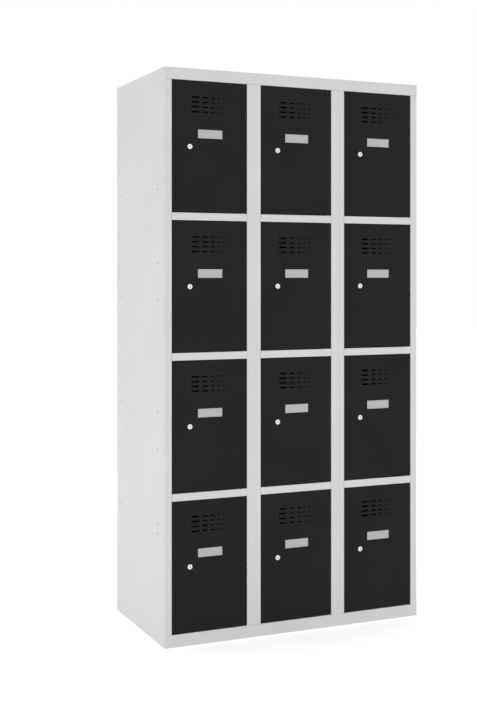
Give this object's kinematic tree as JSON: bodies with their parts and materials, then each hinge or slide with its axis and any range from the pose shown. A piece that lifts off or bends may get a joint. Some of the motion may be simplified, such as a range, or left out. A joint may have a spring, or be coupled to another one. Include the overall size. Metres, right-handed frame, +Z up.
{
  "type": "compartment locker",
  "caption": "Free-standing sheet-steel compartment locker: dark hinged doors in a light frame, each with ventilation slots, a blank label plate and a cam lock.",
  "frame": {"origin": "centre of the cabinet's footprint, on the floor", "axes": "+Z up, +X to the right as one faces the doors, front of the cabinet towards -Y"},
  "size_m": [0.9016, 0.501, 1.8],
  "materials": {
    "frame_paint": "satin",
    "door_paint": "satin",
    "label_plate": "satin",
    "lock_chrome": "polished",
    "lock_nickel": "satin",
    "zinc_steel": "satin",
    "buffer_rubber": "matte"
  },
  "bodies": {
    "carcass": {"left_side_panel": "frame_paint", "right_side_panel": "frame_paint", "partitions": "frame_paint", "back_panel": "frame_paint", "top_panel": "frame_paint", "floor_panel": "frame_paint", "shelves_a": "frame_paint", "shelves_b": "frame_paint", "shelves_c": "frame_paint", "hinge_pins": "zinc_steel", "shelf_rivets": "frame_paint", "door_buffers": "buffer_rubber"},
    "door_a1": {"door_a1": "door_paint", "label_holder_a1": "label_plate", "lock_body_a1": "lock_chrome"},
    "lock_a1": {"lock_cam_a1": "lock_nickel"},
    "door_a2": {"door_a2": "door_paint", "label_holder_a2": "label_plate", "lock_body_a2": "lock_chrome"},
    "lock_a2": {"lock_cam_a2": "lock_nickel"},
    "door_a3": {"door_a3": "door_paint", "label_holder_a3": "label_plate", "lock_body_a3": "lock_chrome"},
    "lock_a3": {"lock_cam_a3": "lock_nickel"},
    "door_a4": {"door_a4": "door_paint", "label_holder_a4": "label_plate", "lock_body_a4": "lock_chrome"},
    "lock_a4": {"lock_cam_a4": "lock_nickel"},
    "door_b1": {"door_b1": "door_paint", "label_holder_b1": "label_plate", "lock_body_b1": "lock_chrome"},
    "lock_b1": {"lock_cam_b1": "lock_nickel"},
    "door_b2": {"door_b2": "door_paint", "label_holder_b2": "label_plate", "lock_body_b2": "lock_chrome"},
    "lock_b2": {"lock_cam_b2": "lock_nickel"},
    "door_b3": {"door_b3": "door_paint", "label_holder_b3": "label_plate", "lock_body_b3": "lock_chrome"},
    "lock_b3": {"lock_cam_b3": "lock_nickel"},
    "door_b4": {"door_b4": "door_paint", "label_holder_b4": "label_plate", "lock_body_b4": "lock_chrome"},
    "lock_b4": {"lock_cam_b4": "lock_nickel"},
    "door_c1": {"door_c1": "door_paint", "label_holder_c1": "label_plate", "lock_body_c1": "lock_chrome"},
    "lock_c1": {"lock_cam_c1": "lock_nickel"},
    "door_c2": {"door_c2": "door_paint", "label_holder_c2": "label_plate", "lock_body_c2": "lock_chrome"},
    "lock_c2": {"lock_cam_c2": "lock_nickel"},
    "door_c3": {"door_c3": "door_paint", "label_holder_c3": "label_plate", "lock_body_c3": "lock_chrome"},
    "lock_c3": {"lock_cam_c3": "lock_nickel"},
    "door_c4": {"door_c4": "door_paint", "label_holder_c4": "label_plate", "lock_body_c4": "lock_chrome"},
    "lock_c4": {"lock_cam_c4": "lock_nickel"}
  },
  "joints": [
    {"name": "door_a1_swing", "type": "hinge", "parent": "carcass", "child": "door_a1", "pos_m": [-0.1855, -0.2435, 1.55631], "axis": [0, 0, 1], "range_deg": [0, 110]},
    {"name": "lock_a1_turn", "type": "hinge", "parent": "door_a1", "child": "lock_a1", "pos_m": [-0.3669, -0.249, 1.556], "axis": [0, 1, 0], "range_deg": [0, 90]},
    {"name": "door_a2_swing", "type": "hinge", "parent": "carcass", "child": "door_a2", "pos_m": [-0.1855, -0.2435, 1.11944], "axis": [0, 0, 1], "range_deg": [0, 110]},
    {"name": "lock_a2_turn", "type": "hinge", "parent": "door_a2", "child": "lock_a2", "pos_m": [-0.3669, -0.249, 1.11912], "axis": [0, 1, 0], "range_deg": [0, 90]},
    {"name": "door_a3_swing", "type": "hinge", "parent": "carcass", "child": "door_a3", "pos_m": [-0.1855, -0.2435, 0.68256], "axis": [0, 0, 1], "range_deg": [0, 110]},
    {"name": "lock_a3_turn", "type": "hinge", "parent": "door_a3", "child": "lock_a3", "pos_m": [-0.3669, -0.249, 0.68225], "axis": [0, 1, 0], "range_deg": [0, 90]},
    {"name": "door_a4_swing", "type": "hinge", "parent": "carcass", "child": "door_a4", "pos_m": [-0.1855, -0.2435, 0.24569], "axis": [0, 0, 1], "range_deg": [0, 110]},
    {"name": "lock_a4_turn", "type": "hinge", "parent": "door_a4", "child": "lock_a4", "pos_m": [-0.3669, -0.249, 0.24538], "axis": [0, 1, 0], "range_deg": [0, 90]},
    {"name": "door_b1_swing", "type": "hinge", "parent": "carcass", "child": "door_b1", "pos_m": [0.1145, -0.2435, 1.55631], "axis": [0, 0, 1], "range_deg": [0, 110]},
    {"name": "lock_b1_turn", "type": "hinge", "parent": "door_b1", "child": "lock_b1", "pos_m": [-0.0669, -0.249, 1.556], "axis": [0, 1, 0], "range_deg": [0, 90]},
    {"name": "door_b2_swing", "type": "hinge", "parent": "carcass", "child": "door_b2", "pos_m": [0.1145, -0.2435, 1.11944], "axis": [0, 0, 1], "range_deg": [0, 110]},
    {"name": "lock_b2_turn", "type": "hinge", "parent": "door_b2", "child": "lock_b2", "pos_m": [-0.0669, -0.249, 1.11912], "axis": [0, 1, 0], "range_deg": [0, 90]},
    {"name": "door_b3_swing", "type": "hinge", "parent": "carcass", "child": "door_b3", "pos_m": [0.1145, -0.2435, 0.68256], "axis": [0, 0, 1], "range_deg": [0, 110]},
    {"name": "lock_b3_turn", "type": "hinge", "parent": "door_b3", "child": "lock_b3", "pos_m": [-0.0669, -0.249, 0.68225], "axis": [0, 1, 0], "range_deg": [0, 90]},
    {"name": "door_b4_swing", "type": "hinge", "parent": "carcass", "child": "door_b4", "pos_m": [0.1145, -0.2435, 0.24569], "axis": [0, 0, 1], "range_deg": [0, 110]},
    {"name": "lock_b4_turn", "type": "hinge", "parent": "door_b4", "child": "lock_b4", "pos_m": [-0.0669, -0.249, 0.24538], "axis": [0, 1, 0], "range_deg": [0, 90]},
    {"name": "door_c1_swing", "type": "hinge", "parent": "carcass", "child": "door_c1", "pos_m": [0.4145, -0.2435, 1.55631], "axis": [0, 0, 1], "range_deg": [0, 110]},
    {"name": "lock_c1_turn", "type": "hinge", "parent": "door_c1", "child": "lock_c1", "pos_m": [0.2331, -0.249, 1.556], "axis": [0, 1, 0], "range_deg": [0, 90]},
    {"name": "door_c2_swing", "type": "hinge", "parent": "carcass", "child": "door_c2", "pos_m": [0.4145, -0.2435, 1.11944], "axis": [0, 0, 1], "range_deg": [0, 110]},
    {"name": "lock_c2_turn", "type": "hinge", "parent": "door_c2", "child": "lock_c2", "pos_m": [0.2331, -0.249, 1.11912], "axis": [0, 1, 0], "range_deg": [0, 90]},
    {"name": "door_c3_swing", "type": "hinge", "parent": "carcass", "child": "door_c3", "pos_m": [0.4145, -0.2435, 0.68256], "axis": [0, 0, 1], "range_deg": [0, 110]},
    {"name": "lock_c3_turn", "type": "hinge", "parent": "door_c3", "child": "lock_c3", "pos_m": [0.2331, -0.249, 0.68225], "axis": [0, 1, 0], "range_deg": [0, 90]},
    {"name": "door_c4_swing", "type": "hinge", "parent": "carcass", "child": "door_c4", "pos_m": [0.4145, -0.2435, 0.24569], "axis": [0, 0, 1], "range_deg": [0, 110]},
    {"name": "lock_c4_turn", "type": "hinge", "parent": "door_c4", "child": "lock_c4", "pos_m": [0.2331, -0.249, 0.24538], "axis": [0, 1, 0], "range_deg": [0, 90]}
  ]
}
